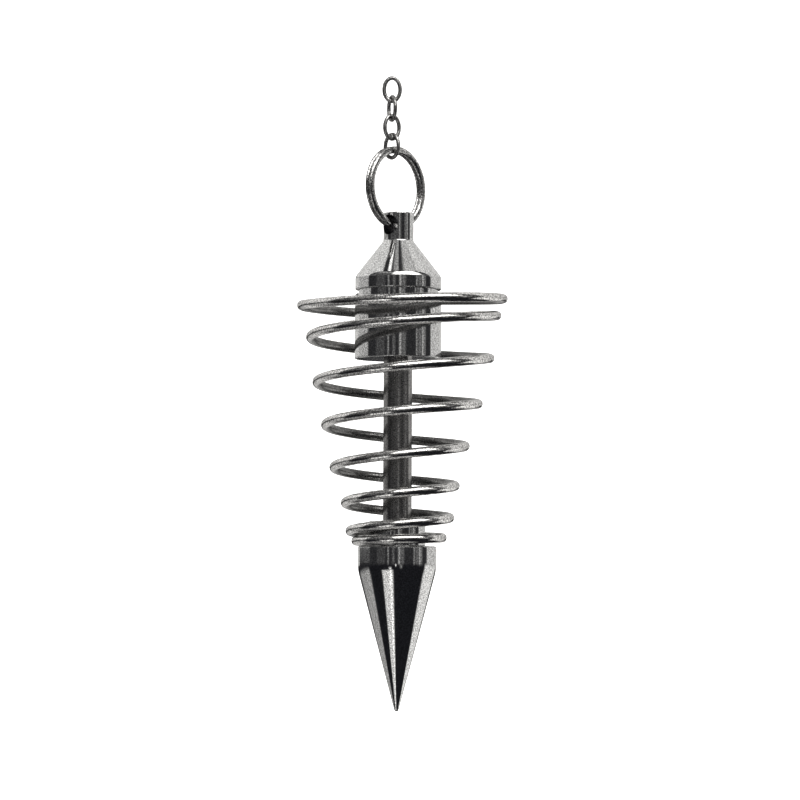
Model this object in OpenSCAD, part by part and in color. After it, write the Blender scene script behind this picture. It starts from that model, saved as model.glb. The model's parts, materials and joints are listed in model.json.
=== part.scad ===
// Spiral pendulum pendant: a turned, pointed bob with a tapering wire coil round its waist,
// hung by a split ring from the last links of a chain.
// Millimetres. +Z is up and +X is the viewer's right, seen from -Y.
// The origin is the inside top of the first link, where the pendant hangs.

/* [Chain] */
// Length of a link, over its wire
link_length = 3.42; // [3:0.01:4.2]
// Width of a link, over its wire
link_width = 2.5; // [2.4:0.01:3]
// Thickness of the link wire
link_wire = 0.5; // [0.4:0.01:0.55]
// Running gap between a link and the one that it hangs on
link_gap = 0.04; // [0.02:0.01:0.1]
// Turn of each link about the vertical, from the first link down
link_turns = [4, -66, 28, -36]; // [-90:1:90]

/* [Split ring] */
// Outside diameter of the split ring
ring_diameter = 10.4; // [9.6:0.1:12]
// Thickness of the ring wire, measured outwards from the ring's centre
ring_wire_depth = 0.88; // [0.6:0.01:0.96]
// Width of the ring wire, measured along the ring's axis
ring_wire_width = 0.54; // [0.4:0.01:0.56]
// Gap between the two turns of the ring
ring_turn_gap = 0.04; // [0.02:0.01:0.06]
// Turn of the ring's plane about the vertical
ring_turn = 48; // [38:1:60]
// Length of ring over which the wire steps from one turn to the other, in degrees
ring_step = 40; // [24:1:60]
// Gap between the ring and what it hangs on, and between the ring and what hangs on it
ring_gap = 0.06; // [0.03:0.01:0.12]
// How far round from the ring's top the chain holds it
chain_slide = 0.75; // [0:0.05:1]
// How far round from the ring's bottom the bob hangs
neck_slide = 0.55; // [0:0.05:0.6]

/* [Cap] */
// Diameter of the neck
neck_diameter = 3.8; // [3.4:0.1:4.4]
// Length of the neck
neck_length = 3.55; // [3.3:0.05:5]
// Diameter of the hole across the neck
hole_diameter = 2.5; // [2.4:0.05:2.7]
// Depth of the hole's centre below the top of the neck
hole_depth = 1.6; // [1.45:0.05:2]
// Bevel round the top of the neck
neck_bevel = 0.15; // [0.05:0.05:0.3]
// Diameter of the cap's rim
cap_diameter = 10.8; // [10:0.1:12]
// Height of the sloping shoulder, from the neck to the rim
shoulder_height = 4.5; // [4:0.1:6]
// Radius that rounds the shoulder into the rim
shoulder_round = 1; // [0.4:0.1:1.4]
// Height of the straight rim
rim_height = 1.66; // [1.2:0.02:3]
// Bevel at the lower edge of the rim
rim_bevel = 0.12; // [0.05:0.01:0.25]

/* [Barrel] */
// Diameter of the barrel
barrel_diameter = 10.86; // [10.2:0.02:12]
// Height of the barrel, with the groove under the cap
barrel_height = 8.65; // [7:0.05:12]
// Depth of the groove under the cap that takes the coil's end
groove_depth = 0.45; // [0.3:0.05:0.8]
// Bevel round the barrel's edges
barrel_bevel = 0.15; // [0.05:0.05:0.4]

/* [Rod] */
// Diameter of the rod
rod_diameter = 3.6; // [3:0.1:4.4]
// Length of rod that shows between the barrel and the collar
rod_length = 20.3; // [17:0.1:26]
// Length of rod that is held in the cap
rod_in_cap = 2.5; // [1.5:0.1:3]
// Length of rod that is held in the point
rod_in_point = 3.2; // [2:0.1:5]
// Gap round the rod in its bores, and between turned parts that stand on each other
fit_gap = 0.02; // [0.01:0.01:0.05]

/* [Collar and point] */
// Diameter of the collar
collar_diameter = 7.1; // [6:0.1:7.6]
// Height of the collar
collar_height = 3.1; // [2:0.1:4.5]
// Bevel round the collar's edges
collar_bevel = 0.12; // [0.05:0.01:0.3]
// Diameter of the point at its top
point_diameter = 9.88; // [9.4:0.02:11]
// Height of the point's straight upper part
point_straight = 2.8; // [2:0.1:4]
// Height of the cone, from the straight part to the tip
cone_height = 17.75; // [14:0.05:24]
// Radius that rounds the straight part into the cone
cone_round = 5.5; // [1:0.5:8]
// Radius of the rounded tip
tip_radius = 0.3; // [0.15:0.05:0.6]
// Bevel round the point's upper edge
point_bevel = 0.2; // [0.05:0.05:0.4]

/* [Coil] */
// Thickness of the coil wire
coil_wire = 1.2; // [1:0.01:1.3]
// Radius of the coil's widest turn, to the middle of the wire
coil_radius = 12.74; // [11.5:0.01:15]
// How far the widest turn stands off the bob's axis, to the right
coil_shift = 0.38; // [0:0.02:0.5]
// Gap between the coil and what it bears on
coil_gap = 0.06; // [0.04:0.01:0.1]

/* [Hidden] */
$fn = 96;
// Cuts run this far past the face that they open
past = 0.5;

// Colours, as the polished plating looks on each piece
link_colour = [0.72, 0.72, 0.73];
ring_colour = [0.66, 0.67, 0.69];
turned_colour = [0.78, 0.78, 0.79];
rod_colour = [0.6, 0.6, 0.62];
coil_colour = [0.7, 0.7, 0.71];

// Facets round the wires, and along them
wire_sides = 12;
link_sides = 8;
link_steps = 28;
ring_steps_per_turn = 40;
coil_steps_per_turn = 32;
round_steps = 6;

// Chain: each link hangs on the bottom of the one above
link_inner_length = link_length - 2 * link_wire;
link_inner_width = link_width - 2 * link_wire;
link_pitch = link_inner_length - link_gap;
chain_seat_z = -(len(link_turns) - 1) * link_pitch - link_inner_length;

// Split ring: radius to the middle of its wire, and spacing of its two turns
ring_r = (ring_diameter - ring_wire_depth) / 2;
ring_pitch = ring_wire_width + ring_turn_gap;
ring_half_width = (ring_pitch + ring_wire_width) / 2;
top_angle = asin(chain_slide / ring_r);
// Angle at which the ring passes through the last link, away from square
link_skew = abs(90 + link_turns[len(link_turns) - 1] - ring_turn) % 180;
// Half the depth of the two turns, at a distance from the middle of the ring's width
function turns_half_depth(x) =
    let (u = (abs(x) - ring_pitch / 2) / (ring_wire_width / 2))
    ring_wire_depth / 2 * (u > 0 ? sqrt(max(0, 1 - u * u)) : 1);
// Rise of the link's inside from its lowest point, at a distance from its middle
function link_rise(x) =
    link_inner_length / 2 * (1 - sqrt(max(0, 1 - pow(2 * x / link_inner_width, 2))));
function across_link(x) = x / cos(link_skew) + link_wire / 2 * tan(link_skew);
seat_samples = [for (i = [0 : 24]) i / 24 * ring_half_width];
ring_lift = max([for (x = seat_samples) link_rise(across_link(x)) + turns_half_depth(x)])
    + link_wire / 2 * tan(top_angle) + ring_gap;
ring_z = chain_seat_z + ring_lift - ring_r * cos(top_angle);

// Bob: its axis, and the hole in the neck that the ring holds
slide_to_bob = chain_slide + neck_slide;
ring_x = chain_slide * cos(ring_turn);
ring_y = chain_slide * sin(ring_turn);
bob_x = slide_to_bob * cos(ring_turn);
bob_y = slide_to_bob * sin(ring_turn);
// Height of the ring's wire, and its slope, at a distance along the hole from the bob's axis
function wire_z(u) = ring_z - sqrt(pow(ring_r, 2) - pow(neck_slide + u, 2));
function wire_slope(u) = asin((neck_slide + u) / ring_r);
function hole_top(x) = sqrt(pow(hole_diameter / 2, 2) - x * x);
function hole_z_for(u) = max([for (x = seat_samples)
    wire_z(u) + turns_half_depth(x) / cos(wire_slope(u)) - hole_top(x)]);
hole_z = max(hole_z_for(neck_diameter / 2), hole_z_for(-neck_diameter / 2)) + ring_gap;

// Heights of the turned parts, each standing on the next
neck_top = hole_z + hole_depth;
shoulder_top = neck_top - neck_length;
rim_top = shoulder_top - shoulder_height;
cap_bottom = rim_top - rim_height;
barrel_top = cap_bottom - fit_gap;
barrel_bottom = barrel_top - barrel_height;
collar_top = barrel_bottom - rod_length;
collar_bottom = collar_top - collar_height;
point_top = collar_bottom - fit_gap;
cone_top = point_top - point_straight;
tip_z = cone_top - cone_height;
rod_top = cap_bottom + rod_in_cap;
rod_bottom = point_top - rod_in_point;
bore_diameter = rod_diameter + 2 * fit_gap;

// Groove under the cap: as high as the coil's wire and its gaps
groove_height = coil_wire + 3 * coil_gap;
groove_r = barrel_diameter / 2 - groove_depth;
coil_top = barrel_top - groove_height / 2;
coil_bottom = point_top + coil_wire / 2 + coil_gap;
coil_end_r = groove_r + coil_wire / 2 + coil_gap;

// Coil sections: turn, counted from the widest point on the right; radius, as a share of the
// way from the end in the groove out to the widest turn; drop, as a share of the coil's height.
COIL_TURN = 0;
COIL_OUT = 1;
COIL_DROP = 2;
coil_rows = [
    [-0.42, 0, 0],
    [-0.3, 0.33, -0.008],
    [-0.15, 0.79, -0.008],
    [0, 1, 0.012],
    [0.25, 0.98, 0.046],
    [0.4, 0.965, 0.051],
    [0.5, 0.96, 0.042],
    [0.6, 0.95, 0.038],
    [0.75, 0.93, 0.047],
    [1, 0.9, 0.08],
    [1.25, 0.835, 0.131],
    [1.5, 0.79, 0.172],
    [1.75, 0.785, 0.207],
    [2, 0.785, 0.254],
    [2.25, 0.74, 0.312],
    [2.5, 0.665, 0.356],
    [2.75, 0.625, 0.395],
    [3, 0.59, 0.44],
    [3.5, 0.5, 0.53],
    [4, 0.375, 0.613],
    [4.5, 0.34, 0.702],
    [5, 0.21, 0.775],
    [5.5, 0.125, 0.846],
    [6, 0.12, 0.905],
    [6.5, 0.035, 0.96],
    [7, -0.005, 0.986],
    [7.4, -0.05, 0.999],
    [7.7, -0.13, 1]
];
coil_last = len(coil_rows) - 1;

// Smooth curve through one column of the coil's table
function row_slope(i, column) =
    let (a = max(0, i - 1), b = min(coil_last, i + 1))
    (coil_rows[b][column] - coil_rows[a][column]) / (coil_rows[b][0] - coil_rows[a][0]);
function row_before(turn, i = 0) =
    i >= coil_last - 1 || coil_rows[i + 1][COIL_TURN] > turn ? i : row_before(turn, i + 1);
function coil_share(turn, column) =
    let (
        i = row_before(turn),
        span = coil_rows[i + 1][COIL_TURN] - coil_rows[i][COIL_TURN],
        s = (turn - coil_rows[i][COIL_TURN]) / span,
        a = coil_rows[i][column],
        b = coil_rows[i + 1][column]
    )
    a * (2 * pow(s, 3) - 3 * s * s + 1) + b * (3 * s * s - 2 * pow(s, 3))
    + span * row_slope(i, column) * (pow(s, 3) - 2 * s * s + s)
    + span * row_slope(i + 1, column) * (pow(s, 3) - s * s);
// A point on the middle of the coil's wire, from the bob's axis
function coil_point(turn) =
    let (
        r = coil_end_r + (coil_radius - coil_end_r) * coil_share(turn, COIL_OUT),
        drop = coil_share(turn, COIL_DROP),
        off = coil_shift * max(0, coil_share(turn, COIL_OUT))
    )
    [r * cos(-360 * turn) + off, r * sin(-360 * turn), coil_top - (coil_top - coil_bottom) * drop];

function unit(v) = v / norm(v);
// One ring of points round a wire that runs in the given direction
function wire_section(middle, along, radius) =
    let (
        side = unit(cross(along, [0, 0, 1])),
        up = cross(side, along)
    )
    [for (k = [0 : wire_sides - 1])
        let (b = 360 * k / wire_sides)
        middle + radius * (cos(b) * side + sin(b) * up)];

// A wire through rings of points: open with flat ends, or closed on itself.
// The points of a ring run anticlockwise, seen looking along the wire.
module swept_wire(rings, closed = false) {
    count = len(rings);
    sides = len(rings[0]);
    last = closed ? count - 1 : count - 2;
    walls = [for (i = [0 : last], k = [0 : sides - 1])
        let (
            a = i * sides + k,
            b = i * sides + (k + 1) % sides,
            c = (i + 1) % count * sides + (k + 1) % sides,
            d = (i + 1) % count * sides + k
        )
        each [[a, b, c], [a, c, d]]];
    ends = closed ? [] : [
        [for (k = [sides - 1 : -1 : 0]) k],
        [for (k = [0 : sides - 1]) (count - 1) * sides + k]
    ];
    polyhedron(points = [for (r = rings) each r], faces = concat(walls, ends));
}

// An oval link that hangs with its inside top at the given height
module link(number) {
    half_h = (link_length - link_wire) / 2;
    half_w = (link_width - link_wire) / 2;
    rings = [for (i = [0 : link_steps - 1])
        let (
            a = 360 * i / link_steps,
            out = unit([half_h * cos(a), 0, half_w * sin(a)])
        )
        [for (k = [0 : link_sides - 1])
            let (b = 360 * (k + 0.5) / link_sides)
            [half_w * cos(a), 0, half_h * sin(a)]
            + link_wire / 2 * (cos(b) * out - sin(b) * [0, 1, 0])]];
    color(link_colour)
    translate([0, 0, -(number - 1) * link_pitch - link_inner_length / 2])
    rotate(link_turns[number - 1])
    swept_wire(rings, closed = true);
}

// The step between the ring's two turns, from -1 to 1, hidden in the hole of the neck
function step_share(angle) =
    let (s = min(1, max(0, (angle + ring_step / 2) / ring_step)))
    2 * s * s * (3 - 2 * s) - 1;

// Two turns of flattened wire side by side, which step across at the ring's bottom
module split_ring() {
    half_length = 360 - ring_step / 2;
    steps = round(2 * half_length / 360 * ring_steps_per_turn);
    rings = [for (i = [0 : steps])
        let (
            a = -half_length + 2 * half_length * i / steps,
            out = [sin(a), 0, -cos(a)],
            shift = ring_pitch / 2 * step_share(a)
        )
        [for (k = [0 : wire_sides - 1])
            let (b = 360 * k / wire_sides)
            (ring_r + ring_wire_depth / 2 * cos(b)) * out
            + [0, shift - ring_wire_width / 2 * sin(b), 0]]];
    color(ring_colour)
    translate([ring_x, ring_y, ring_z])
    rotate(ring_turn)
    swept_wire(rings);
}

// Points of a round between two directions, as angles about its centre
function round_points(centre, r, from, to, steps = round_steps) =
    [for (i = [0 : steps])
        let (a = from + (to - from) * i / steps)
        centre + r * [cos(a), sin(a)]];
// Direction at which a line from a point touches a circle, on the circle's outer side
function touch_angle(from, centre, r) =
    let (d = from - centre)
    atan2(d[1], d[0]) - acos(r / norm(d));

// The hole for the rod, from one height up to another
module rod_bore(from, to) {
    translate([0, 0, from])
    cylinder(d = bore_diameter, h = to - from);
}

// Neck with its cross hole, sloping shoulder and straight rim
module cap() {
    neck_r = neck_diameter / 2;
    cap_r = cap_diameter / 2;
    round_centre = [cap_r - shoulder_round, rim_top];
    slope_end = touch_angle([neck_r, shoulder_top], round_centre, shoulder_round);
    color(turned_colour)
    translate([bob_x, bob_y, 0])
    difference() {
        rotate_extrude()
        polygon(concat(
            [[0, cap_bottom], [cap_r - rim_bevel, cap_bottom], [cap_r, cap_bottom + rim_bevel]],
            round_points(round_centre, shoulder_round, 0, slope_end),
            [
                [neck_r, shoulder_top],
                [neck_r, neck_top - neck_bevel],
                [neck_r - neck_bevel, neck_top],
                [0, neck_top]
            ]
        ));
        translate([0, 0, hole_z])
        rotate([0, 90, ring_turn])
        cylinder(d = hole_diameter, h = neck_diameter + 2 * past, center = true);
        rod_bore(cap_bottom - past, rod_top + fit_gap);
    }
}

// Cylinder under the cap, with the groove at its top and a hole for the rod right through
module barrel() {
    barrel_r = barrel_diameter / 2;
    shelf = barrel_top - groove_height;
    color(turned_colour)
    translate([bob_x, bob_y, 0])
    difference() {
        rotate_extrude()
        polygon([
            [0, barrel_bottom],
            [barrel_r - barrel_bevel, barrel_bottom],
            [barrel_r, barrel_bottom + barrel_bevel],
            [barrel_r, shelf - barrel_bevel],
            [barrel_r - barrel_bevel, shelf],
            [groove_r, shelf],
            [groove_r, barrel_top],
            [0, barrel_top]
        ]);
        rod_bore(barrel_bottom - past, barrel_top + past);
    }
}

// The rod that carries the cap, the barrel, the collar and the point
module rod() {
    color(rod_colour)
    translate([bob_x, bob_y, rod_bottom])
    cylinder(d = rod_diameter, h = rod_top - rod_bottom);
}

// Collar on the rod, above the point
module collar() {
    collar_r = collar_diameter / 2;
    color(turned_colour)
    translate([bob_x, bob_y, 0])
    difference() {
        rotate_extrude()
        polygon([
            [0, collar_bottom],
            [collar_r - collar_bevel, collar_bottom],
            [collar_r, collar_bottom + collar_bevel],
            [collar_r, collar_top - collar_bevel],
            [collar_r - collar_bevel, collar_top],
            [0, collar_top]
        ]);
        rod_bore(collar_bottom - past, collar_top + past);
    }
}

// Pointed end: a short cylinder, rounded into a long cone with a blunted tip
module point() {
    point_r = point_diameter / 2;
    tip_centre = [0, tip_z + tip_radius];
    // Angle of the cone's side from the vertical, touching the tip's round
    reach = norm([point_r, cone_top - tip_centre[1]]);
    lean = atan2(point_r, cone_top - tip_centre[1]) - asin(tip_radius / reach);
    edge = cone_round * tan(lean / 2);
    color(turned_colour)
    translate([bob_x, bob_y, 0])
    difference() {
        rotate_extrude()
        polygon(concat(
            [[0, point_top], [0, tip_z]],
            [for (i = [1 : round_steps])
                let (a = (90 - lean) * i / round_steps)
                tip_centre + tip_radius * [sin(a), -cos(a)]],
            round_points([point_r - cone_round, cone_top + edge], cone_round, -lean, 0),
            [[point_r, point_top - point_bevel], [point_r - point_bevel, point_top]]
        ));
        rod_bore(rod_bottom - fit_gap, point_top + past);
    }
}

// Tapering wire coil: its upper end lies in the groove, its lowest turn on the point's edge
module coil() {
    first = coil_rows[0][COIL_TURN];
    turns = coil_rows[coil_last][COIL_TURN] - first;
    steps = round(turns * coil_steps_per_turn);
    nudge = 0.01;
    rings = [for (i = [0 : steps])
        let (
            turn = first + turns * i / steps,
            along = unit(coil_point(turn + nudge) - coil_point(turn - nudge))
        )
        wire_section(coil_point(turn), along, coil_wire / 2)];
    color(coil_colour)
    translate([bob_x, bob_y, 0])
    swept_wire(rings);
}

module link_1() { link(1); }
module link_2() { link(2); }
module link_3() { link(3); }
module link_4() { link(4); }

link_1();
link_2();
link_3();
link_4();
split_ring();
cap();
barrel();
rod();
collar();
point();
coil();
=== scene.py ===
# A pendulum pendant in bright plated brass: a turned, pointed bob with a tapering wire coil,
# hung by a split ring from a short end of chain.
# Metres, in the frame's own axes: +Z up, the camera on the -Y side.
import json
from math import asin, atan2, ceil, cos, pi, radians, sin, sqrt, tan

import bmesh
import bpy
import numpy as np
from mathutils import Matrix, Vector


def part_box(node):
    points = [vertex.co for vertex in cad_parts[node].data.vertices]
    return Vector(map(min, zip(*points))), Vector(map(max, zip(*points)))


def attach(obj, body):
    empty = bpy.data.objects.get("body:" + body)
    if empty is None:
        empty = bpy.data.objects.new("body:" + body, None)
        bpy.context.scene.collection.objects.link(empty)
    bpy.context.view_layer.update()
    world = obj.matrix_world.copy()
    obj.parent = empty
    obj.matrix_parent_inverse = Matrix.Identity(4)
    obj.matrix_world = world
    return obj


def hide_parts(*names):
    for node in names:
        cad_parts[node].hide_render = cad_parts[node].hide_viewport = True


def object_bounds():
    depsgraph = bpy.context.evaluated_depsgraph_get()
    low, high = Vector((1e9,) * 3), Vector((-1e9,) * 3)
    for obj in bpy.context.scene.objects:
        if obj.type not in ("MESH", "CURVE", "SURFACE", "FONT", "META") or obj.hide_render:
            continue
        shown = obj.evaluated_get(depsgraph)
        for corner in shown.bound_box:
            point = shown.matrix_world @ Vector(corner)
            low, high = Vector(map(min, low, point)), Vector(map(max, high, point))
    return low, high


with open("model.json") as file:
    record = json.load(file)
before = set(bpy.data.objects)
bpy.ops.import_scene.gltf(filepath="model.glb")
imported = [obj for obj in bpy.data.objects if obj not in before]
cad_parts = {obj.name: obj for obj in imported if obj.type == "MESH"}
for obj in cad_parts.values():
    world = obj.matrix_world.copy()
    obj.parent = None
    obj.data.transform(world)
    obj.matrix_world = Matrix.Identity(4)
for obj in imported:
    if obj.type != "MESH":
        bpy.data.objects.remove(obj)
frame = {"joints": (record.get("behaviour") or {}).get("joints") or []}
cad_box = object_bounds()

MM = 0.001
# Keeps a length that is divided by from being nothing
TINY = 1e-12

# Chain: oval links of round wire, each hung on the one above
LINK_LENGTH = 3.42 * MM
LINK_WIDTH = 2.5 * MM
LINK_WIRE = 0.5 * MM
LINK_GAP = 0.04 * MM
# How far each link is turned about the chain's line, in degrees
LINK_TURNS = (4, -66, 28, -36)

# Split ring: two turns of flattened wire side by side
RING_DIAMETER = 10.4 * MM
RING_WIRE_DEPTH = 0.88 * MM
RING_WIRE_WIDTH = 0.54 * MM
RING_TURN_GAP = 0.04 * MM
# The angle over which the wire crosses from one turn to the other
RING_STEP = radians(40)
# How far the ring's middle lies to the side of the chain's line
RING_SLIDE = 0.75 * MM

# Cap
NECK_RADIUS = 1.9 * MM
NECK_LENGTH = 3.55 * MM
HOLE_RADIUS = 1.25 * MM
DRILL_REACH = 1.5 * NECK_RADIUS
SHOULDER_HEIGHT = 4.5 * MM
SHOULDER_ROUND = 1.0 * MM
NECK_FILLET = 0.3 * MM
NECK_EDGE = 0.15 * MM
CAP_RIM_EDGE = 0.12 * MM
CAP_BORE_EDGE = 0.1 * MM
BLIND_END_EDGE = 0.02 * MM
ROD_IN_CAP = 2.5 * MM

# Other turned parts
GROOVE_DEPTH = 0.45 * MM
GROOVE_FILLET = 0.08 * MM
GROOVE_TOP_EDGE = 0.04 * MM
BARREL_EDGE = 0.15 * MM
ROD_EDGE = 0.1 * MM
COLLAR_EDGE = 0.12 * MM
BORE_EDGE = 0.05 * MM
POINT_STRAIGHT = 2.8 * MM
POINT_EDGE = 0.2 * MM
CONE_ROUND = 5.5 * MM
TIP_RADIUS = 0.3 * MM
TIP_FACET_EDGE = 0.01 * MM
FIT_GAP = 0.02 * MM

# Coil
COIL_WIRE = 1.2 * MM
COIL_RADIUS = 12.74 * MM
# How far the middle of the widest turn lies to the right of the bob's axis
COIL_SHIFT = 0.38 * MM
COIL_GAP = 0.06 * MM
GROOVE_HEIGHT = COIL_WIRE + 3 * COIL_GAP
# Rounding of a wire's cut ends, as a share of its half thickness
CUT_ROUND = 0.3
# Sections: turn, counted from the widest point on the right; radius, as a share of the way
# from the end in the groove out to the widest turn; drop, as a share of the coil's height
COIL_ROWS = np.array([
    (-0.42, 0, 0),
    (-0.3, 0.33, -0.008),
    (-0.15, 0.79, -0.008),
    (0, 1, 0.012),
    (0.25, 0.98, 0.046),
    (0.4, 0.965, 0.051),
    (0.5, 0.96, 0.042),
    (0.6, 0.95, 0.038),
    (0.75, 0.93, 0.047),
    (1, 0.9, 0.08),
    (1.25, 0.835, 0.131),
    (1.5, 0.79, 0.172),
    (1.75, 0.785, 0.207),
    (2, 0.785, 0.254),
    (2.25, 0.74, 0.312),
    (2.5, 0.665, 0.356),
    (2.75, 0.625, 0.395),
    (3, 0.59, 0.44),
    (3.5, 0.5, 0.53),
    (4, 0.375, 0.613),
    (4.5, 0.34, 0.702),
    (5, 0.21, 0.775),
    (5.5, 0.125, 0.846),
    (6, 0.12, 0.905),
    (6.5, 0.035, 0.96),
    (7, -0.005, 0.986),
    (7.4, -0.05, 0.999),
    (7.7, -0.13, 1),
])
TURN, OUT, DROP = 0, 1, 2

# Fineness of the meshes
TURNED_SIDES = 192
WIRE_SIDES = 28
LINK_STEPS = 96
RING_STEPS_PER_TURN = 160
COIL_STEPS_PER_TURN = 120
ARC_STEP = radians(6)
TIP_STEPS = 8
CUT_STEPS = 4
DRILL_SIDES = 96

# How fast the grain changes along its marks, as a share of its change across them
SLOW_TURNED_GRAIN = 0.04
SLOW_DRAWN_GRAIN = 0.02

# Camera, at the photograph's distance, height and tilt
CAMERA_DISTANCE = 0.43
CAMERA_HEIGHT = -0.0652
CAMERA_ASIDE = 0.00115
CAMERA_PITCH = radians(3.326)
CAMERA_ROLL = radians(0.245)
CAMERA_LENS = 155.3
CAMERA_SENSOR = 36
CAMERA_CLIP = (0.01, 10)

# Stage: a floor that sweeps up into a wall all round
FLOOR_DROP = 0.06
FLOOR_RADIUS = 0.7
SWEEP_ROUND = 0.5
WALL_HEIGHT = 1.4
SWEEP_SIDES = 96
SWEEP_STEPS = 24
PAPER_COLOUR = (0.9, 0.9, 0.9, 1)
PAPER_GLOW = 1.05


def joint(name):
    return next(j for j in frame["joints"] if j["name"] == name)


def span(node):
    """Radius, bottom and top of a turned node."""
    low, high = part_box(node)
    return (high.x - low.x) / 2, low.z, high.z


BOB_AXIS = Vector(joint("bob_swing")["pos_m"][:2])
HOLE_Z = joint("bob_swing")["pos_m"][2]
RING_TURN = atan2(*reversed(joint("ring_swing")["axis"][:2]))


# Meshes

def shown_mesh(name, points, faces, body, node, material, grain, normals=None):
    """A smooth mesh that stands for one CAD node and rides on its body."""
    mesh = bpy.data.meshes.new(name)
    mesh.from_pydata([tuple(p) for p in points], [], faces)
    mesh.validate()
    mesh.shade_smooth()
    if normals is not None:
        mesh.normals_split_custom_set_from_vertices([tuple(n) for n in normals])
    marks = mesh.attributes.new("grain", "FLOAT_VECTOR", "POINT")
    marks.data.foreach_set("vector", np.asarray(grain, np.float32).ravel())
    mesh.materials.append(material)
    piece = bpy.data.objects.new(name, mesh)
    bpy.context.scene.collection.objects.link(piece)
    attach(piece, body)
    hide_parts(node)
    return piece


def unit(v):
    return v / np.linalg.norm(v, axis=-1, keepdims=True)


def oval(half_across, half_up):
    """Outline of a wire: an ellipse."""
    a = np.linspace(0, 2 * pi, WIRE_SIDES, endpoint=False)
    return np.stack([half_across * np.cos(a), half_up * np.sin(a)], axis=1)


def wire(path, across, outline, closed):
    """Points, faces and grain of a wire along a path. across is the outline's first direction."""
    if closed:
        along = unit(np.roll(path, -1, axis=0) - np.roll(path, 1, axis=0))
    else:
        along = unit(np.gradient(path, axis=0))
    across = unit(across - np.sum(across * along, axis=1, keepdims=True) * along)
    up = np.cross(along, across)
    size = np.ones(len(path))
    run = np.concatenate([[0], np.cumsum(np.linalg.norm(np.diff(path, axis=0), axis=1))])
    if not closed:
        path, across, up, size, run = cut_ends(path, across, up, along, run, outline)
    count, sides = len(path), len(outline)
    rings = (path[:, None]
             + size[:, None, None] * outline[None, :, 0, None] * across[:, None]
             + size[:, None, None] * outline[None, :, 1, None] * up[:, None])
    faces = []
    for i in range(count if closed else count - 1):
        j = (i + 1) % count
        for k in range(sides):
            m = (k + 1) % sides
            faces.append((i * sides + k, i * sides + m, j * sides + m, j * sides + k))
    if not closed:
        faces.append(tuple(range(sides - 1, -1, -1)))
        faces.append(tuple((count - 1) * sides + k for k in range(sides)))
    grain = np.empty((count, sides, 3))
    grain[..., :2] = outline[None]
    grain[..., 2] = run[:, None]
    return rings.reshape(-1, 3), faces, grain.reshape(-1, 3)


def cut_ends(path, across, up, along, run, outline):
    """Adds a small rounded edge and a flat face to both ends of an open wire."""
    edge = CUT_ROUND * outline.max()
    steps = np.linspace(0, pi / 2, CUT_STEPS)
    out = edge * np.sin(steps)
    shrink = 1 - (1 - np.cos(steps)) * edge / outline.max()
    before, after = -out[::-1], out
    path = np.concatenate([path[0] + before[:, None] * along[0], path[1:-1],
                           path[-1] + after[:, None] * along[-1]])
    size = np.concatenate([shrink[::-1], np.ones(len(run) - 2), shrink])
    run = np.concatenate([run[0] + before, run[1:-1], run[-1] + after])

    def spread(values):
        ends = len(steps)
        return np.concatenate([np.repeat(values[:1], ends, 0), values[1:-1],
                               np.repeat(values[-1:], ends, 0)])

    return path, spread(across), spread(up), size, run


def rounded(corners, closed=False):
    """Points and outward normals of a profile (radius, height) whose corners are rounded.
    The corners run with the solid on the left: out along the bottom and up the outside."""
    corners = np.array(corners, float)
    count = len(corners)
    points, normals = [], []

    def emit(point, direction):
        points.append(point)
        normals.append((direction[1], -direction[0]))

    for i, (r, z, size) in enumerate(corners):
        here = np.array([r, z])
        if not closed and i in (0, count - 1):
            other = corners[1 if i == 0 else count - 2, :2]
            emit(here, unit(other - here if i == 0 else here - other))
            continue
        into = unit(here - corners[i - 1, :2])
        away = unit(corners[(i + 1) % count, :2] - here)
        turn = atan2(into[0] * away[1] - into[1] * away[0], into @ away)
        reach = size * abs(tan(turn / 2))
        centre = here - reach * into + np.sign(turn) * size * np.array([-into[1], into[0]])
        steps = max(2, ceil(abs(turn) / ARC_STEP))
        for s in range(steps + 1):
            a = atan2(into[1], into[0]) + turn * s / steps
            direction = np.array([cos(a), sin(a)])
            emit(centre + np.sign(turn) * size * np.array([direction[1], -direction[0]]),
                 direction)
    return np.array(points), np.array(normals)


def turned(profile, slopes, closed=False):
    """Points, faces, normals and grain of a profile turned about the bob's axis."""
    a = np.linspace(0, 2 * pi, TURNED_SIDES, endpoint=False)
    ring = np.stack([np.cos(a), np.sin(a)], axis=1)
    points, normals, starts = [], [], []
    for (r, z), (outward, upward) in zip(profile, slopes):
        starts.append(len(points))
        spokes = ring if r > 0 else ring[:1] * 0
        for x, y in spokes:
            points.append((r * x, r * y, z))
            normals.append((outward * x, outward * y, upward))
    count = len(profile)
    faces = []
    for i in range(count if closed else count - 1):
        j = (i + 1) % count
        for k in range(TURNED_SIDES):
            m = (k + 1) % TURNED_SIDES
            low = [starts[i] + k, starts[i] + m] if profile[i][0] > 0 else [starts[i]]
            high = [starts[j] + m, starts[j] + k] if profile[j][0] > 0 else [starts[j]]
            faces.append(tuple(low + high))
    points = np.array(points)
    return points + (*BOB_AXIS, 0), faces, np.array(normals), turned_grain(points)


def turned_grain(points):
    """Tool marks run round the axis, so the grain changes fast with radius and height only."""
    across = SLOW_TURNED_GRAIN * points[:, :2]
    return np.column_stack([across, points[:, 2] + np.hypot(points[:, 0], points[:, 1])])


def turned_piece(node, corners, material):
    """A hollow turned node of the bob, from the corners of its profile."""
    points, faces, normals, grain = turned(*rounded(corners, closed=True), closed=True)
    return shown_mesh("turned_" + node, points, faces, "bob", node, material, grain, normals)


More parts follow.
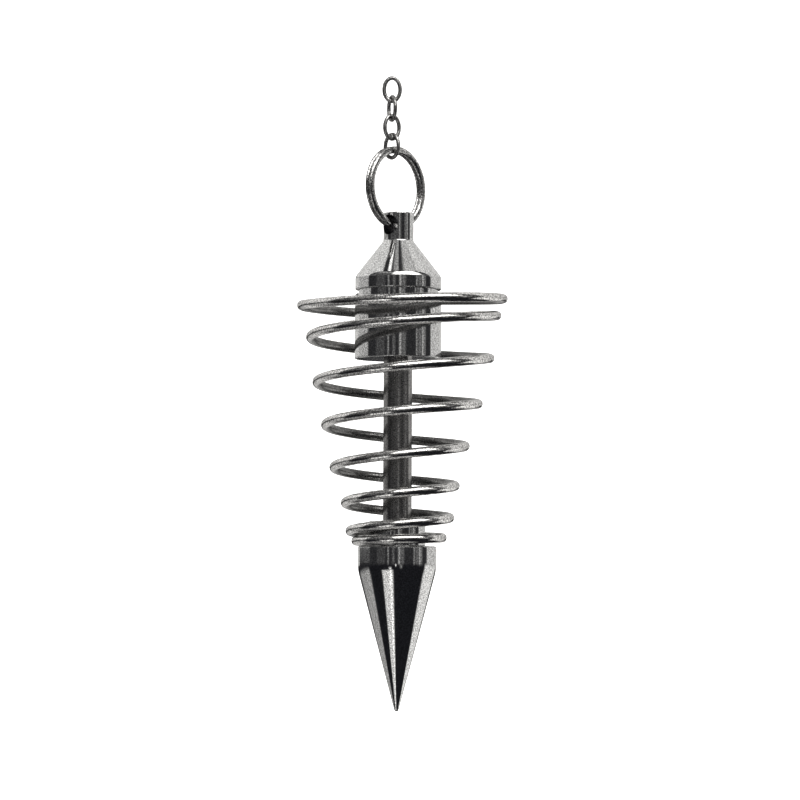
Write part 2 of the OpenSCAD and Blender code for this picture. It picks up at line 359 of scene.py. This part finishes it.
def profile_normals(points, profile, slopes):
    """Normals at points that lie on a turned surface, from the nearest stretch of its profile."""
    spokes = points - (*BOB_AXIS, 0)
    radius = np.hypot(spokes[:, 0], spokes[:, 1])
    flat = np.stack([radius, points[:, 2]], axis=1)[:, None]
    start, stretch = profile[:-1], np.diff(profile, axis=0)
    share = np.sum((flat - start) * stretch, axis=2) / np.sum(stretch ** 2, axis=1)
    share = np.clip(share, 0, 1)
    gap = np.linalg.norm(flat - start - share[..., None] * stretch, axis=2)
    near = np.argmin(gap, axis=1)
    t = share[np.arange(len(points)), near][:, None]
    slope = unit(slopes[near] * (1 - t) + slopes[near + 1] * t)
    out = spokes[:, :2] / np.maximum(radius, TINY)[:, None]
    return np.column_stack([slope[:, :1] * out, slope[:, 1]])


# A face is on the hole's wall if it is this near to it, as a share of the hole's radius, and
# faces its axis this squarely
WALL_NEAR = 0.02
WALL_SQUARE = 0.9


def drill(piece, centre, along, profile, slopes):
    """Cuts the cross hole right through a turned piece, and gives both surfaces their normals.
    The hole's wall takes the piece's second material."""
    mesh = bpy.data.meshes.new("drill")
    work = bmesh.new()
    bmesh.ops.create_cone(work, cap_ends=True, segments=DRILL_SIDES, radius1=HOLE_RADIUS,
                          radius2=HOLE_RADIUS, depth=2 * DRILL_REACH)
    work.to_mesh(mesh)
    work.free()
    cutter = bpy.data.objects.new("drill", mesh)
    facing = along.to_track_quat("Z", "Y").to_matrix().to_4x4()
    cutter.matrix_world = Matrix.Translation(centre) @ facing
    bpy.context.scene.collection.objects.link(cutter)
    cut = piece.modifiers.new("hole", "BOOLEAN")
    cut.object = cutter
    cut.solver = "EXACT"
    bpy.context.view_layer.update()
    drilled = bpy.data.meshes.new_from_object(
        piece.evaluated_get(bpy.context.evaluated_depsgraph_get()))
    piece.modifiers.clear()
    piece.data = drilled
    bpy.data.objects.remove(cutter)
    drilled.shade_smooth()
    spots = np.array([v.co for v in drilled.vertices])
    outside = profile_normals(spots, profile, slopes)
    centre, along = np.array(centre), np.array(along)
    off = spots - centre
    off -= (off @ along)[:, None] * along
    inside = -unit(np.where(np.abs(off) < TINY, TINY, off))
    loops = np.zeros((len(drilled.loops), 3))
    for face in drilled.polygons:
        middle = np.array(face.center) - centre
        middle -= (middle @ along) * along
        on_wall = abs(np.linalg.norm(middle) - HOLE_RADIUS) < WALL_NEAR * HOLE_RADIUS
        wall = on_wall and unit(middle) @ np.array(face.normal) < -WALL_SQUARE
        face.material_index = int(wall)
        for loop in face.loop_indices:
            spot = drilled.loops[loop].vertex_index
            loops[loop] = inside[spot] if wall else outside[spot]
    drilled.normals_split_custom_set([tuple(n) for n in loops])


# Pieces

def chain_link(number, material):
    half_high = (LINK_LENGTH - LINK_WIRE) / 2
    half_wide = (LINK_WIDTH - LINK_WIRE) / 2
    inner_length = LINK_LENGTH - 2 * LINK_WIRE
    a = np.linspace(0, 2 * pi, LINK_STEPS, endpoint=False)
    turn = radians(LINK_TURNS[number - 1])
    side = np.array([cos(turn), sin(turn), 0])
    middle = -(number - 1) * (inner_length - LINK_GAP) - inner_length / 2
    path = half_wide * np.cos(a)[:, None] * side
    path[:, 2] += middle + half_high * np.sin(a)
    flat = np.tile([-sin(turn), cos(turn), 0], (LINK_STEPS, 1))
    points, faces, grain = wire(path, flat, oval(LINK_WIRE / 2, LINK_WIRE / 2), True)
    name = f"link_{number}"
    return shown_mesh("chain_" + name, points, faces, "chain", name, material, grain)


def split_ring(material):
    radius = (RING_DIAMETER - RING_WIRE_DEPTH) / 2
    pitch = RING_WIRE_WIDTH + RING_TURN_GAP
    centre = Vector(joint("ring_swing")["pos_m"])
    centre.z -= radius * cos(asin(RING_SLIDE / radius))
    side = Vector((cos(RING_TURN), sin(RING_TURN), 0))
    axis = np.array([-side.y, side.x, 0])
    centre += RING_SLIDE * side
    half = 2 * pi - RING_STEP / 2
    a = np.linspace(-half, half, 2 * RING_STEPS_PER_TURN)
    s = np.clip((a + RING_STEP / 2) / RING_STEP, 0, 1)
    shift = pitch / 2 * (2 * s * s * (3 - 2 * s) - 1)
    path = (np.array(centre) + radius * np.sin(a)[:, None] * np.array(side)
            - radius * np.cos(a)[:, None] * np.array([0, 0, 1]) + shift[:, None] * axis)
    outline = oval(RING_WIRE_WIDTH / 2, RING_WIRE_DEPTH / 2)
    points, faces, grain = wire(path, np.tile(axis, (len(a), 1)), outline, False)
    return shown_mesh("two_turn_ring", points, faces, "ring", "split_ring", material, grain)


def cap(material, hole_shade_material):
    rim, bottom, top = span("cap")
    foot = top - NECK_LENGTH
    shelf = foot - SHOULDER_HEIGHT
    blind_end = bottom + ROD_IN_CAP + FIT_GAP
    bore = span("rod")[0] + FIT_GAP
    profile, slopes = rounded([
        (0, blind_end, 0),
        (bore, blind_end, BLIND_END_EDGE),
        (bore, bottom, CAP_BORE_EDGE),
        (rim, bottom, CAP_RIM_EDGE),
        (rim, shelf, SHOULDER_ROUND),
        (NECK_RADIUS, foot, NECK_FILLET),
        (NECK_RADIUS, top, NECK_EDGE),
        (0, top, 0),
    ])
    points, faces, normals, grain = turned(profile, slopes)
    piece = shown_mesh("turned_cap", points, faces, "bob", "cap", material, grain, normals)
    # The hole's wall gets a near-black material: painted shade inside the bore
    piece.data.materials.append(hole_shade_material)
    drill(piece, Vector((*BOB_AXIS, HOLE_Z)), Vector(joint("bob_swing")["axis"]), profile, slopes)
    return piece


def barrel(material):
    outer, bottom, top = span("barrel")
    bore = span("rod")[0] + FIT_GAP
    shelf = top - GROOVE_HEIGHT
    return turned_piece("barrel", [
        (bore, bottom, BORE_EDGE),
        (outer, bottom, BARREL_EDGE),
        (outer, shelf, BARREL_EDGE),
        (outer - GROOVE_DEPTH, shelf, GROOVE_FILLET),
        (outer - GROOVE_DEPTH, top, GROOVE_TOP_EDGE),
        (bore, top, GROOVE_TOP_EDGE),
    ], material)


def rod(material):
    outer, bottom, top = span("rod")
    points, faces, normals, _ = turned(*rounded([
        (0, bottom, 0),
        (outer, bottom, ROD_EDGE),
        (outer, top, ROD_EDGE),
        (0, top, 0),
    ]))
    # The rod is drawn, so its marks run along it
    grain = points * (1, 1, SLOW_DRAWN_GRAIN)
    return shown_mesh("drawn_rod", points, faces, "bob", "rod", material, grain, normals)


def collar(material):
    outer, bottom, top = span("collar")
    bore = span("rod")[0] + FIT_GAP
    return turned_piece("collar", [
        (bore, bottom, BORE_EDGE),
        (outer, bottom, COLLAR_EDGE),
        (outer, top, COLLAR_EDGE),
        (bore, top, BORE_EDGE),
    ], material)


def point(material):
    outer, tip, top = span("point")
    rod_radius, rod_bottom, _ = span("rod")
    bore, bore_end = rod_radius + FIT_GAP, rod_bottom - FIT_GAP
    tip_centre = tip + TIP_RADIUS
    cone_height = top - POINT_STRAIGHT - tip - TIP_RADIUS
    # Angle between the axis and the side that touches the rounded tip
    lean = atan2(outer, cone_height) - asin(TIP_RADIUS / sqrt(outer ** 2 + cone_height ** 2))
    sharp_tip = tip_centre - TIP_RADIUS / sin(lean)
    round_tip = [(TIP_RADIUS * sin(a), tip + TIP_RADIUS * (1 - cos(a)), TIP_FACET_EDGE)
                 for a in np.linspace(0, pi / 2 - lean, TIP_STEPS)[:-1]]
    points, faces, normals, grain = turned(*rounded([
        *round_tip,
        (outer, sharp_tip + outer / tan(lean), CONE_ROUND),
        (outer, top, POINT_EDGE),
        (bore, top, BORE_EDGE),
        (bore, bore_end, BORE_EDGE),
        (0, bore_end, 0),
    ]))
    return shown_mesh("turned_point", points, faces, "bob", "point", material, grain, normals)


def coil_share(turns, column):
    """Smooth curve through one column of the coil's sections."""
    knots, values = COIL_ROWS[:, TURN], COIL_ROWS[:, column]
    before = np.concatenate([[0], np.arange(len(knots) - 1)])
    after = np.concatenate([np.arange(1, len(knots)), [len(knots) - 1]])
    slopes = (values[after] - values[before]) / (knots[after] - knots[before])
    i = np.clip(np.searchsorted(knots, turns, side="right") - 1, 0, len(knots) - 2)
    step = knots[i + 1] - knots[i]
    s = (turns - knots[i]) / step
    return (values[i] * (2 * s ** 3 - 3 * s ** 2 + 1) + values[i + 1] * (3 * s ** 2 - 2 * s ** 3)
            + step * slopes[i] * (s ** 3 - 2 * s ** 2 + s)
            + step * slopes[i + 1] * (s ** 3 - s ** 2))


def coil(material):
    barrel_radius, _, barrel_top = span("barrel")
    top = barrel_top - GROOVE_HEIGHT / 2
    bottom = span("point")[2] + COIL_WIRE / 2 + COIL_GAP
    end_radius = barrel_radius - GROOVE_DEPTH + COIL_WIRE / 2 + COIL_GAP
    first, last = COIL_ROWS[0, TURN], COIL_ROWS[-1, TURN]
    turns = np.linspace(first, last, round((last - first) * COIL_STEPS_PER_TURN))
    out = coil_share(turns, OUT)
    radius = end_radius + (COIL_RADIUS - end_radius) * out
    path = np.stack([
        BOB_AXIS.x + radius * np.cos(-2 * pi * turns) + COIL_SHIFT * np.maximum(0, out),
        BOB_AXIS.y + radius * np.sin(-2 * pi * turns),
        top - (top - bottom) * coil_share(turns, DROP),
    ], axis=1)
    upright = np.tile([0.0, 0, 1], (len(turns), 1))
    outline = oval(COIL_WIRE / 2, COIL_WIRE / 2)
    points, faces, grain = wire(path, upright, outline, False)
    return shown_mesh("wound_coil", points, faces, "bob", "coil", material, grain)


# Materials

class Shading:
    """Short names for adding nodes to one tree."""

    def __init__(self, tree):
        self.tree = tree

    def add(self, kind, **settings):
        node = self.tree.nodes.new(kind)
        for key, value in settings.items():
            setattr(node, key, value)
        return node

    def feed(self, socket, value):
        if isinstance(value, bpy.types.NodeSocket):
            self.tree.links.new(value, socket)
        else:
            socket.default_value = value

    def math(self, operation, *values, clamp=False):
        node = self.add("ShaderNodeMath", operation=operation, use_clamp=clamp)
        for socket, value in zip(node.inputs, values):
            self.feed(socket, value)
        return node.outputs[0]

    def ramp(self, value, low, high, from_value=0.0, to_value=1.0):
        """Smooth step of a value from low to high."""
        node = self.add("ShaderNodeMapRange", interpolation_type="SMOOTHSTEP")
        for socket, x in zip(node.inputs, (value, low, high, from_value, to_value)):
            self.feed(socket, x)
        return node.outputs[0]

    def noise(self, vector, scale, detail, rough):
        node = self.add("ShaderNodeTexNoise")
        self.feed(node.inputs["Vector"], vector)
        self.feed(node.inputs["Scale"], scale)
        self.feed(node.inputs["Detail"], detail)
        self.feed(node.inputs["Roughness"], rough)
        return node.outputs["Fac"]


def group(name, inputs, outputs):
    """A node group with named number inputs and outputs, and a vector input called Vector."""
    tree = bpy.data.node_groups.new(name, "ShaderNodeTree")
    tree.interface.new_socket("Vector", in_out="INPUT", socket_type="NodeSocketVector")
    for label in inputs:
        tree.interface.new_socket(label, in_out="INPUT", socket_type="NodeSocketFloat")
    for label in outputs:
        tree.interface.new_socket(label, in_out="OUTPUT", socket_type="NodeSocketFloat")
    s = Shading(tree)
    return s, s.add("NodeGroupInput").outputs, s.add("NodeGroupOutput").inputs


# Noise level above which the skin is pitted when nothing is covered, how far it drops at full
# cover, and how far above it a pit is at its deepest
PIT_LEVEL, PIT_LEVEL_DROP, PIT_SLOPE = 0.6, 0.3, 0.12
# Noise levels between which a tool mark turns from bright to dull
MARK_LEVELS = (0.5, 0.72)
# Roughness that the tool marks add, and that the inner side of the coiled wire adds
MARK_ROUGHNESS = 0.08
INNER_ROUGHNESS = 0.15
# Where the inner side starts and where it is all rougher and painted darker, inwards from the
# wire's middle
INNER_SIDE = (-0.1 * MM, 0.25 * MM)


def pitted_skin_group():
    """The plating's uneven skin: scattered small pits. Size in metres; Cover from 0 to 1."""
    s, given, made = group("pitted_skin", ["Size", "Cover"], ["Height", "Pits"])
    scale = s.math("DIVIDE", 1.0, given["Size"])
    spots = s.noise(given["Vector"], scale, detail=1.0, rough=0.6)
    edge = s.math("MULTIPLY_ADD", given["Cover"], -PIT_LEVEL_DROP, PIT_LEVEL)
    pits = s.ramp(spots, edge, s.math("ADD", edge, PIT_SLOPE))
    s.feed(made["Height"], s.math("MULTIPLY", pits, -1.0))
    s.feed(made["Pits"], pits)
    return s.tree


def tool_marks_group():
    """Fine lines left by turning or drawing, which follow the grain of the piece."""
    s, given, made = group("tool_marks", ["Spacing"], ["Height", "Dulling"])
    scale = s.math("DIVIDE", 1.0, given["Spacing"])
    lines = s.noise(given["Vector"], scale, detail=3.0, rough=0.7)
    s.feed(made["Height"], lines)
    s.feed(made["Dulling"], s.ramp(lines, *MARK_LEVELS))
    return s.tree


def plating(name, groups, colour, edge, roughness, pit, pit_cover, pit_depth, pit_rough,
            pit_shade, mark_spacing, mark_depth, mark_shade=1.0, inner_painted_shade=1.0):
    """Bright plated metal. edge is the tint of what it mirrors at a glance, pit and mark_spacing
    the sizes of its pits and tool marks, pit_rough how much rougher it is in the pits, pit_shade
    and mark_shade how much of the colour is left in them. inner_painted_shade is what is left of
    it on the inner side of a coiled wire, which is also rougher there: painted shade facing the
    bob."""
    material = bpy.data.materials.new(name)
    material.use_nodes = True
    tree = material.node_tree
    tree.nodes.clear()
    s = Shading(tree)
    shader = s.add("ShaderNodeBsdfPrincipled")
    output = s.add("ShaderNodeOutputMaterial")
    tree.links.new(shader.outputs[0], output.inputs["Surface"])
    shader.inputs["Metallic"].default_value = 1.0
    shader.inputs["Specular Tint"].default_value = (edge, edge, edge, 1)

    place = s.add("ShaderNodeTexCoord").outputs["Object"]
    grain = s.add("ShaderNodeAttribute", attribute_name="grain").outputs["Vector"]
    skin = s.add("ShaderNodeGroup", node_tree=groups["skin"])
    s.feed(skin.inputs["Vector"], place)
    s.feed(skin.inputs["Size"], pit)
    s.feed(skin.inputs["Cover"], pit_cover)
    marks = s.add("ShaderNodeGroup", node_tree=groups["marks"])
    s.feed(marks.inputs["Vector"], grain)
    s.feed(marks.inputs["Spacing"], mark_spacing)

    rough = s.math("MULTIPLY_ADD", marks.outputs["Dulling"], MARK_ROUGHNESS, roughness)
    rough = s.math("MULTIPLY_ADD", skin.outputs["Pits"], pit_rough, rough, clamp=True)

    tint = (*colour, 1)
    shades = [(skin.outputs["Pits"], pit_shade)]
    if mark_shade < 1:
        shades.insert(0, (marks.outputs["Dulling"], mark_shade))
    # The inner side of the coiled wire is rougher, and its colour darker: painted shade facing
    # the bob
    if inner_painted_shade < 1:
        inward = s.add("ShaderNodeSeparateXYZ")
        s.feed(inward.inputs[0], grain)
        inner = s.ramp(inward.outputs["Y"], *INNER_SIDE)
        rough = s.math("MULTIPLY_ADD", inner, INNER_ROUGHNESS, rough, clamp=True)
        shades.append((inner, inner_painted_shade))
    s.feed(shader.inputs["Roughness"], rough)

    for mask, shade in shades:
        darker = s.add("ShaderNodeMix", data_type="RGBA", blend_type="MULTIPLY")
        s.feed(darker.inputs["Factor"], mask)
        s.feed(darker.inputs["A"], tint)
        s.feed(darker.inputs["B"], (shade, shade, shade, 1))
        tint = darker.outputs["Result"]
    s.feed(shader.inputs["Base Color"], tint)

    low = s.add("ShaderNodeBump")
    s.feed(low.inputs["Distance"], pit_depth)
    s.feed(low.inputs["Height"], skin.outputs["Height"])
    fine = s.add("ShaderNodeBump")
    s.feed(fine.inputs["Distance"], mark_depth)
    s.feed(fine.inputs["Height"], marks.outputs["Height"])
    s.feed(fine.inputs["Normal"], low.outputs["Normal"])
    s.feed(shader.inputs["Normal"], fine.outputs["Normal"])
    return material


# Studio

def backdrop():
    """A pale floor that sweeps up into a wall all round, far outside the camera's path."""
    floor = cad_box[0].z - FLOOR_DROP
    profile = [(0, floor)]
    for a in np.linspace(-pi / 2, 0, SWEEP_STEPS):
        profile.append((FLOOR_RADIUS + SWEEP_ROUND * cos(a), floor + SWEEP_ROUND * (1 + sin(a))))
    profile.append((FLOOR_RADIUS + SWEEP_ROUND, floor + WALL_HEIGHT))
    sides = SWEEP_SIDES
    points, faces = [], []
    for r, z in profile:
        for k in range(sides):
            points.append((r * cos(2 * pi * k / sides), r * sin(2 * pi * k / sides), z))
    for i in range(len(profile) - 1):
        for k in range(sides):
            m = (k + 1) % sides
            faces.append((i * sides + k, i * sides + m, (i + 1) * sides + m, (i + 1) * sides + k))
    mesh = bpy.data.meshes.new("pale_sweep")
    mesh.from_pydata(points, [], faces)
    mesh.shade_smooth()
    material = bpy.data.materials.new("pale_paper")
    material.use_nodes = True
    shader = material.node_tree.nodes["Principled BSDF"]
    shader.inputs["Base Color"].default_value = PAPER_COLOUR
    shader.inputs["Roughness"].default_value = 1.0
    shader.inputs["Emission Color"].default_value = (1, 1, 1, 1)
    shader.inputs["Emission Strength"].default_value = PAPER_GLOW
    mesh.materials.append(material)
    sweep = bpy.data.objects.new("pale_sweep", mesh)
    bpy.context.scene.collection.objects.link(sweep)
    # The metal mirrors the studio's light panels and not the paper
    sweep.visible_glossy = False
    sweep.visible_diffuse = False
    sweep.visible_shadow = False


# Light panels round the object, as seen from it: azimuth from the camera's side towards +X and
# elevation, each from and to in degrees, the softness of their sides and of their ends in
# degrees, and brightness
PANELS = {
    "left_wall": ((-180, -87), (1.3, 6.3), 3, 0.8, 0.5),
    "left_wall_behind": ((-180, -118), (1.3, 6.3), 18, 0.8, 0.72),
    "left_middle": ((-180, -87), (6, 10), 3, 1, 0.33),
    "left_high": ((-180, -87), (9, 50), 3, 1.5, 0.82),
    "left_top": ((-152, -87), (46, 67), 3, 1.5, 0.8),
    "left_low": ((-190, -92), (-40, -10), 4, 6, 0.42),
    "left_low_behind": ((-190, -128), (-40, -10), 14, 6, 0.75),
    "right_wall": ((97, 180), (-3, 7.4), 3, 0.8, 0.66),
    "right_middle": ((97, 180), (7, 10), 3, 1, 0.42),
    "right_high": ((95, 180), (9, 50), 4, 1.5, 0.74),
    "right_top": ((95, 152), (46, 65), 4, 4, 0.8),
    "right_low": ((90, 150), (-30, -2), 4, 3, 0.92),
    "back_wall": ((142, 218), (-1.5, 7.2), 4, 0.8, 0.76),
    "back_high": ((142, 218), (10, 50), 4, 1.5, 0.8),
    "back_low": ((160, 200), (-45, -9), 6, 2, 0.8),
    "ceiling": ((-190, 190), (83, 90), 2, 1, 0.45),
    "ceiling_left": ((-186, 4), (79, 90), 2, 1, 0.42),
    "ceiling_line": ((-150, -60), (73.5, 78.5), 2, 1, 1.6),
    "ceiling_right": ((20, 150), (64, 78.5), 2, 2, 0.6),
    "high_front": ((-15, 68), (25, 67), 7, 4, 3),
    "high_left": ((-75, -20), (40, 64), 6, 6, 0.32),
    "floor": ((-190, 190), (-90, -66), 6, 6, 0.42),
    "left_room": ((-62, -34), (-3, 24), 4, 6, 0.08),
    "left_slit": ((-28, -24), (-3, 24), 2, 6, 0.3),
    "middle_left": ((-15, -7), (-3, 24), 3, 6, 0.14),
    "middle": ((3, 9), (-3, 24), 2, 6, 0.42),
    "middle_right": ((10, 21), (-3, 24), 4, 6, 0.16),
    "right_slit": ((49, 53), (-3, 24), 2, 6, 0.33),
    "right_room": ((55, 66), (-3, 24), 3, 6, 0.16),
    "far_right_slit": ((67, 72), (-3, 24), 2, 6, 0.5),
    "far_right_room": ((72, 79), (-3, 24), 2, 6, 0.22),
    "front_haze": ((-85, 95), (12, 36), 8, 4, 0.12),
    "low_haze": ((-130, -35), (-66, -38), 8, 4, 0.25),
    "low_left": ((-47, -13), (-50, -18), 2.5, 2.5, 0.8),
    "low_left_strip": ((-27, -14), (-50, -18), 5, 2.5, 1.3),
    "low_spark": ((-24, -17), (-16, -11), 2, 2, 0.9),
    "middle_spark": ((-5, -2), (-9, -3), 1, 1, 1),
    "low_wisp": ((9, 15), (-14, -3), 3, 3, 0.25),
}
# The dark room between them, above and below, and the elevations between which it changes
ROOM = 0.031
LOW_ROOM = 0.012
ROOM_CHANGE = (-8.0, 0.0)
# The lights are a little warm and the dark room a little blue: what red, green and blue take of
# the brightness, and what they add to it
LIGHT_TINTS = ((1, 0), (0.99, 0.0005), (0.965, 0.003))


def studio_light():
    world = bpy.data.worlds.new("studio")
    bpy.context.scene.world = world
    world.use_nodes = True
    tree = world.node_tree
    tree.nodes.clear()
    s = Shading(tree)
    way = s.add("ShaderNodeTexCoord").outputs["Generated"]
    split = s.add("ShaderNodeSeparateXYZ")
    s.feed(split.inputs[0], way)
    x, y, z = split.outputs
    azimuth = s.math("DEGREES", s.math("ARCTAN2", x, s.math("MULTIPLY", y, -1.0)))
    elevation = s.math("DEGREES", s.math("ARCSINE", z))
    total = s.ramp(elevation, *ROOM_CHANGE, LOW_ROOM, ROOM)
    for (left, right), (low, high), soft_side, soft_end, bright in PANELS.values():
        # Distance in azimuth from the panel's middle, the short way round
        centre, half = (left + right) / 2, (right - left) / 2
        off = s.math("WRAP", s.math("SUBTRACT", azimuth, centre), 180.0, -180.0)
        off = s.math("ABSOLUTE", off)
        across = s.ramp(off, half - soft_side, half + soft_side, 1.0, 0.0)
        above = s.ramp(elevation, low - soft_end, low + soft_end)
        below = s.ramp(elevation, high - soft_end, high + soft_end, 1.0, 0.0)
        shape = s.math("MULTIPLY", across, s.math("MULTIPLY", above, below))
        total = s.math("MAXIMUM", total, s.math("MULTIPLY", shape, bright))
    shader = s.add("ShaderNodeBackground")
    colour = s.add("ShaderNodeCombineXYZ")
    for socket, (share, rest) in zip(colour.inputs, LIGHT_TINTS):
        s.feed(socket, s.math("MULTIPLY_ADD", total, share, rest))
    s.feed(shader.inputs["Color"], colour.outputs[0])
    tree.links.new(shader.outputs[0], s.add("ShaderNodeOutputWorld").inputs["Surface"])


def camera():
    data = bpy.data.cameras.new("camera")
    data.lens = CAMERA_LENS
    data.sensor_width = CAMERA_SENSOR
    data.clip_start, data.clip_end = CAMERA_CLIP
    seen_from = bpy.data.objects.new("camera", data)
    seen_from.matrix_world = (Matrix.Translation((CAMERA_ASIDE, -CAMERA_DISTANCE, CAMERA_HEIGHT))
                              @ Matrix.Rotation(pi / 2 + CAMERA_PITCH, 4, "X")
                              @ Matrix.Rotation(CAMERA_ROLL, 4, "Z"))
    bpy.context.scene.collection.objects.link(seen_from)
    bpy.context.scene.camera = seen_from


# The paper is just white in the picture, so it doesn't eat into the wires' edges
bpy.context.scene.view_settings.view_transform = "Standard"
camera()
backdrop()
studio_light()

effects = {"skin": pitted_skin_group(), "marks": tool_marks_group()}
chain_metal = plating(
    "chain_plating", effects, colour=(0.65, 0.645, 0.64), edge=0.1, roughness=0.24,
    pit=0.2 * MM, pit_cover=0.6, pit_depth=0.004 * MM, pit_rough=0.1, pit_shade=0.35,
    mark_spacing=0.06 * MM, mark_depth=0.001 * MM)
ring_metal = plating(
    "ring_plating", effects, colour=(0.95, 0.945, 0.94), edge=0.3, roughness=0.08,
    pit=0.18 * MM, pit_cover=0.6, pit_depth=0.004 * MM, pit_rough=0.1, pit_shade=0.3,
    mark_spacing=0.05 * MM, mark_depth=0.001 * MM)
turned_metal = plating(
    "turned_plating", effects, colour=(0.98, 0.98, 0.98), edge=0.9, roughness=0.03,
    pit=0.13 * MM, pit_cover=0.6, pit_depth=0.0003 * MM, pit_rough=0.05, pit_shade=0.5,
    mark_spacing=0.05 * MM, mark_depth=0.0002 * MM)
# The cross hole's wall is painted near black: painted shade inside the bore
hole_painted_shade_metal = plating(
    "hole_painted_shade", effects, colour=(0.14, 0.14, 0.15), edge=0.1, roughness=0.35,
    pit=0.2 * MM, pit_cover=0.4, pit_depth=0.01 * MM, pit_rough=0.2, pit_shade=0.5,
    mark_spacing=0.05 * MM, mark_depth=0.002 * MM)
rod_metal = plating(
    "rod_plating", effects, colour=(0.5, 0.49, 0.485), edge=0.6, roughness=0.2,
    pit=0.18 * MM, pit_cover=0.4, pit_depth=0.001 * MM, pit_rough=0.1, pit_shade=0.55,
    mark_spacing=0.25 * MM, mark_depth=0.003 * MM, mark_shade=0.5)
# The coil's inner side is painted darker: painted shade where the turns face the bob
coil_metal = plating(
    "coil_plating", effects, colour=(0.95, 0.94, 0.93), edge=0.7, roughness=0.08,
    pit=0.2 * MM, pit_cover=0.55, pit_depth=0.002 * MM, pit_rough=0.06, pit_shade=0.5,
    mark_spacing=0.05 * MM, mark_depth=0.001 * MM, inner_painted_shade=0.33)

for number in range(1, len(LINK_TURNS) + 1):
    chain_link(number, chain_metal)
split_ring(ring_metal)
cap(turned_metal, hole_painted_shade_metal)
for make, metal in ((barrel, turned_metal), (rod, rod_metal), (collar, turned_metal),
                    (point, turned_metal)):
    make(metal)
coil(coil_metal)
